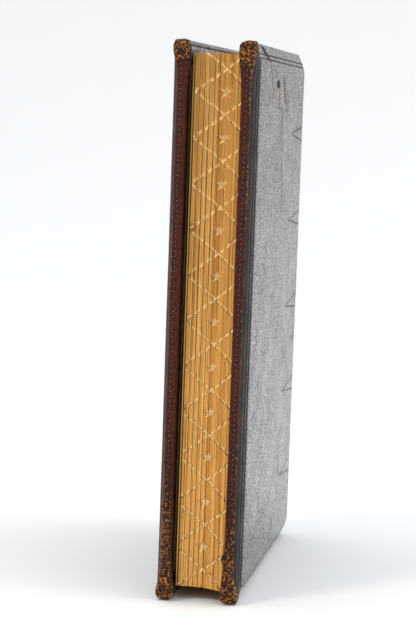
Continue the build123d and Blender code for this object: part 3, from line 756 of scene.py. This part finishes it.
for side, body, ajar in ((-1, "front", front_ajar), (1, "back", 0.0)):
    # middle line of the strip: round the spine's arc to the hinge line, and then along the board
    middle = []
    for k in range(9):
        a = radians(hinge_degrees - joint_degrees * (1 - k / 8))
        middle.append((side * spine_radius * sin(a), spine_centre_y + spine_radius * cos(a) - hinge_y,
                       side * sin(a), cos(a)))
    for v in (0.2, 0.4, 0.65, joint_gap):
        t = smooth(np.array(v), 0, 0.6)
        middle.append((side * (hinge_x + v * sin(radians(ajar))), -v * cos(radians(ajar)),
                       side * (t * cos(radians(ajar)) + (1 - t) * sin(radians(hinge_degrees))),
                       t * sin(radians(ajar)) + (1 - t) * cos(radians(hinge_degrees))))
    outer, inner = ([(x + nx / sqrt(nx * nx + ny * ny) * off, y + ny / sqrt(nx * nx + ny * ny) * off)
                     for x, y, nx, ny in middle] for off in (0.4, -0.36))
    section = outer + inner[::-1]
    heights = np.r_[0, 0.15, 0.5, np.linspace(1.5, cover_height - 1.5, 180),
                    cover_height - 0.5, cover_height - 0.15, cover_height]
    squeeze = np.r_[0.55, 0.85, 1.0, np.ones(180), 1.0, 0.85, 0.55]
    points, faces = [], []
    count = len(section)
    away = np.array([side, 0.0]) * np.r_[np.linspace(0.3, 1, 9), np.ones(8), np.linspace(1, 0.3, 9)][:, None]
    # the outer side is pared thinner beside the bevel, the inner side clears the flyleaf
    outside = (np.arange(26) < 13)[:, None]
    core = np.array([((a[0] + b[0]) / 2, (a[1] + b[1]) / 2) for a, b in zip(section, section[::-1])])
    for z, s in zip(heights, squeeze):
        sunk = np.where(outside, end_dip(z, 0.75), end_dip(z, 0.15))
        ring_points = core + (np.array(section) - core) * s - away * sunk
        points += [(middle_x + x, hinge_y + y, z) for x, y in ring_points]
    for r in range(len(heights) - 1):
        faces += [(r * count + k, r * count + n, (r + 1) * count + n, (r + 1) * count + k)
                  for k, n in zip(range(count), [*range(1, count), 0])]
    faces += [tuple(range(count))[::-1], tuple((len(heights) - 1) * count + k for k in range(count))]
    points = np.array(points)
    ends = np.minimum(points[:, 2], cover_height - points[:, 2])
    marks = {k: np.zeros(len(points)) for k in ("rim", "tool", "along", "across", "out", "scuff")}
    marks["wear"] = 0.16 + 0.18 * np.exp(-(ends / 3.0) ** 2) + waver(points[:, 2], 40 + side, 0.08, 50.0)
    marks["lift"] = points[:, 2] * MM
    strip = plain_mesh(f"{body}_joint_goatskin", points, faces, (morocco,), marks, crease=60)
    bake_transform(strip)
    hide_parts(f"{body}_joint_leather")

# ---------------------------------------------------------------- leather of the spine
# One piece over the card hollow, worked up over four bands with a folder, and rolled over at head and tail into
# caps that cover the silk bands. Blind lines run beside each band.
panel_degrees = hinge_degrees - joint_degrees
band_height, band_width = 1.0, 4.2
tape_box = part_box("raised_bands")
band_centres = np.linspace(tape_box[0][2] / MM + 1.3, tape_box[1][2] / MM - 1.3, 4)
radius_out = spine_radius + spine_skin / 2
radius_in = spine_radius - spine_skin / 2
line_z = np.unique(np.concatenate([np.linspace(1.2, cover_height - 1.2, 150)] + [
    np.linspace(c - 5.2, c + 5.2, 53) for c in band_centres]))
cap = [(radius_out - 0.95 + 0.95 * cos(a), cover_height - 0.95 + 0.95 * sin(a)) for a in np.linspace(0.3, pi, 9)]
head_cap = cap + [(radius_out - 1.9, cover_height - 2.2), (radius_out - 1.6, cover_height - 4.5),
                  (radius_in - 0.02, cover_height - 6.0)]
line = [(radius_out, z) for z in line_z] + head_cap
line += [(r, cover_height - z) for r, z in reversed(head_cap)]
line = np.array(line)
turns = np.linspace(-panel_degrees, panel_degrees, 49)
points, marks = [], {k: [] for k in leather_marks}
for turn in turns:
    a = radians(turn)
    r, z = line[:, 0].copy(), line[:, 1].copy()
    on_band = sum(1 - smooth(np.abs(z - c), band_width / 2 - 0.7, band_width / 2 + 0.5) for c in band_centres)
    outer = r > radius_out - 0.01
    side_fade = 1 - smooth(np.array(abs(turn)), panel_degrees - 4.5, panel_degrees - 0.5)
    groove = sum(np.exp(-((np.abs(z - c) - 3.6) / 0.22) ** 2) for c in band_centres)
    groove = groove + sum(np.exp(-((np.abs(z - c) - 4.6) / 0.22) ** 2) for c in band_centres)
    groove = np.where(outer, groove, 0)
    r = np.where(outer, r + band_height * on_band * side_fade - 0.12 * groove, r)
    # the rolled cap is at its fullest in the middle, and thins out to the joints
    thin = 0.62 * smooth(np.array(abs(turn)), panel_degrees * 0.4, panel_degrees)
    r = np.where(outer | (r < radius_in), r, radius_out - (radius_out - r) * (1 - thin))
    r = r - 0.5 * end_dip(z) * smooth(np.array(abs(turn)), panel_degrees * 0.45, panel_degrees)
    points.append(np.stack([middle_x + r * sin(a), spine_centre_y + r * cos(a), z], 1))
    ends = np.minimum(z, cover_height - z)
    rubbed = 0.15 + 0.22 * np.exp(-(ends / 3.0) ** 2) + 0.22 * on_band * side_fade * outer
    rubbed = rubbed + 0.1 * smooth(np.array(abs(turn)), panel_degrees - 4, panel_degrees)
    for key, value in (("rim", 0.0), ("wear", rubbed), ("tool", np.clip(groove, 0, 1)), ("along", 0.0),
                       ("across", 1.0), ("out", 0.0), ("lift", z * MM), ("scuff", 0.0)):
        marks[key].append(np.broadcast_to(np.asarray(value, float), (len(z),)))
count = len(line)
faces = []
for t in range(len(turns) - 1):
    faces += [(t * count + k, (t + 1) * count + k, (t + 1) * count + n, t * count + n)
              for k, n in zip(range(count), [*range(1, count), 0])]
faces += [tuple(range(count)), tuple((len(turns) - 1) * count + k for k in range(count))[::-1]]
spine_piece = plain_mesh("spine_goatskin", np.concatenate(points), faces, (morocco,),
                         {k: np.concatenate(v) for k, v in marks.items()}, crease=60)
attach(spine_piece, "spine")
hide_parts("spine_leather")

# ---------------------------------------------------------------- pastedowns
# The other half of each endpaper, pasted to the inner face over the turned-in leather, which has stained it.
# the same laid paper, browned along its edges by the leather under it
pasted, tree, shader = finish_named("laid_endpaper_pasted_down", Roughness=0.8)
place = node(tree, "TexCoord")[3]
split = node(tree, "SeparateXYZ", {0: place})
laid = node(tree, "TexWave", {"Vector": place, "Scale": 143.0, "Distortion": 0.3}, bands_direction="Z")[1]
fibre = node(tree, "TexNoise", {"Vector": place, "Scale": 800.0, "Detail": 6.0, "Roughness": 0.7})[0]
tone = node(tree, "TexNoise", {"Vector": place, "Scale": 26.0, "Detail": 5.0})[0]
tone = node(tree, "MapRange", {0: tone, 1: 0.35, 2: 0.7})[0]
paper = node(tree, "Mix", {0: tone, 6: linear("#d2bf94"), 7: linear("#b79c6c")}, data_type="RGBA")[2]
from_edge = depth_within(tree, (split[1], hinge_y - cover_width / 2, cover_width / 2), (split[2], 90.0, 90.0))
creep = node(tree, "Math", {0: tone, 1: 0.004, 2: from_edge}, operation="MULTIPLY_ADD")[0]
stain = node(tree, "MapRange", {0: creep, 1: 14.5 * MM, 2: 17.0 * MM, 3: 0.6, 4: 0.0})[0]
paper = node(tree, "Mix", {0: stain, 6: paper, 7: linear("#8a6439")}, data_type="RGBA")[2]
ribs = node(tree, "Math", {0: laid, 1: 0.3, 2: fibre}, operation="MULTIPLY_ADD")[0]
surface(tree, shader, paper, ribs, 0.04, 0.4)
dress(pasted, "front_pastedown", "back_pastedown")

# ---------------------------------------------------------------- floor, light and camera
# A seamless pale sweep behind the book, lit by one large soft light from the upper left and a weaker one.
sweep, tree, shader = finish_named("pale_paper_sweep", Roughness=0.75)
place = node(tree, "TexCoord")[3]
cloud = node(tree, "TexNoise", {"Vector": place, "Scale": 1.2, "Detail": 2.0})[0]
pale = node(tree, "Mix", {0: cloud, 6: linear("#f3f4f4"), 7: linear("#f8f8f8")}, data_type="RGBA")[2]
tree.links.new(pale, shader.inputs["Base Color"])
line = [(-3000.0, 0.0), (900.0, 0.0)]
line += [(900 + 700 * sin(a), 700 - 700 * cos(a)) for a in np.linspace(0, pi / 2, 13)[1:]] + [(1600.0, 3200.0)]
points = [(x, y, z) for y, z in line for x in (-4000.0, 4000.0)]
faces = [(2 * k, 2 * k + 1, 2 * k + 3, 2 * k + 2) for k in range(len(line) - 1)]
floor = plain_mesh("floor_sweep", points, faces, (sweep,))

world = bpy.data.worlds.new("soft_room")
bpy.context.scene.world = world
world.use_nodes = True
tree = world.node_tree
# bright overhead and behind the book, darker on the side that the viewer stands on
look = node(tree, "SeparateXYZ", {0: node(tree, "TexCoord")[0]})
level = node(tree, "Math", {0: look[2], 1: 0.9, 2: look[1]}, operation="MULTIPLY_ADD")[0]
level = node(tree, "Math", {0: look[0], 1: 0.45, 2: level}, operation="MULTIPLY_ADD")[0]
level = node(tree, "MapRange", {0: level, 1: -0.8, 2: 0.9, 3: 0.37, 4: 1.56})[0]
tree.nodes["Background"].inputs[0].default_value = linear("#f8fbff")
tree.links.new(level, tree.nodes["Background"].inputs[1])
for name, spot, size, power, colour in (("key_softbox", (-0.8, -0.9, 1.25), 0.32, 6.8, "#fff4e6"),
                                        ("fill_softbox", (1.5, 0.1, 1.0), 1.2, 6.6, "#ffffff")):
    lamp = bpy.data.lights.new(name, "AREA")
    lamp.size, lamp.energy, lamp.color = size, power, linear(colour)[:3]
    holder = bpy.data.objects.new(name, lamp)
    bpy.context.scene.collection.objects.link(holder)
    holder.location = spot
    aim = np.array([0.0, 0.0, 0.09]) - np.array(spot)
    holder.rotation_euler = (atan2(sqrt(aim[0] ** 2 + aim[1] ** 2), -aim[2]), 0, atan2(-aim[0], aim[1]))

camera_data = bpy.data.cameras.new("view")
camera_data.sensor_fit = "VERTICAL"
camera_data.sensor_height = 36.0
camera_data.lens = 111.5
camera_data.clip_start, camera_data.clip_end = 0.01, 20.0
camera = bpy.data.objects.new("view", camera_data)
bpy.context.scene.collection.objects.link(camera)
yaw, dip, roll = radians(9.87), radians(5.75), radians(2.03)
ahead = np.array([-sin(yaw) * cos(dip), cos(yaw) * cos(dip), -sin(dip)])
level = np.array([cos(yaw), sin(yaw), 0.0])
upward = np.cross(level, ahead)
right = cos(roll) * level + sin(roll) * upward
above = -sin(roll) * level + cos(roll) * upward
stand = (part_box("back_cover_leather")[1][0] + 0.0912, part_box("back_cover_leather")[0][1] - 0.600, 0.1558)
turned = np.stack([right, above, -ahead], 1)
camera.matrix_world = Matrix([(*row, at) for row, at in zip(turned, stand)] + [(0, 0, 0, 1)])
bpy.context.scene.camera = camera
bpy.context.scene.view_settings.view_transform = "Standard"
